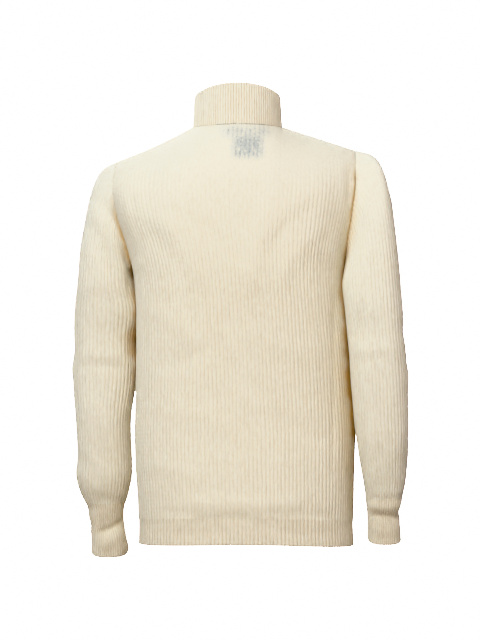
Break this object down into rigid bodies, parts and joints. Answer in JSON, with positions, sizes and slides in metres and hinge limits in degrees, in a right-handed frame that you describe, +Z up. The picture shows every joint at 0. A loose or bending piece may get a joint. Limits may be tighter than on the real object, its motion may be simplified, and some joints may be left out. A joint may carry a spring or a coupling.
{
  "type": "half-zip sweater",
  "caption": "Rib-knit half-zip sweater with a high standing collar, set-in sleeves, ribbed cuffs and hem band, filled out hollow as if worn, with a hinged zip pull tab.",
  "frame": {"origin": "middle of the neck opening, level with the top of the shoulder seams, where the wearer's shoulders and neck hold the garment", "axes": "+Z up, -Y towards the front with the zip, +X towards the garment's own left sleeve"},
  "size_m": [0.5433, 0.236, 0.7684],
  "materials": {
    "knit": "cream wool rib knit, matt with a soft fuzz",
    "rib_trim": "cream wool in a finer rib, matt",
    "tape": "cream woven zip tape",
    "metal": "satin pale metal",
    "label": "grey woven satin, bare"
  },
  "bodies": {
    "garment": {"back_panel": "knit", "front_panel": "knit", "sleeve_left": "knit", "sleeve_right": "knit", "cuff_left": "rib_trim", "cuff_right": "rib_trim", "hem_band": "rib_trim", "collar": "rib_trim", "zip_tape_left": "tape", "zip_tape_right": "tape", "zip_slider": "metal", "zip_stop": "metal", "neck_label": "label", "care_label": "label"},
    "pull_tab": {"pull_tab": "metal"}
  },
  "joints": [
    {"name": "pull_tab_hinge", "type": "hinge", "parent": "garment", "child": "pull_tab", "pos_m": [0.0055, -0.06796, 0.0103], "axis": [-1, 0, 0], "range_deg": [0, 150]}
  ]
}
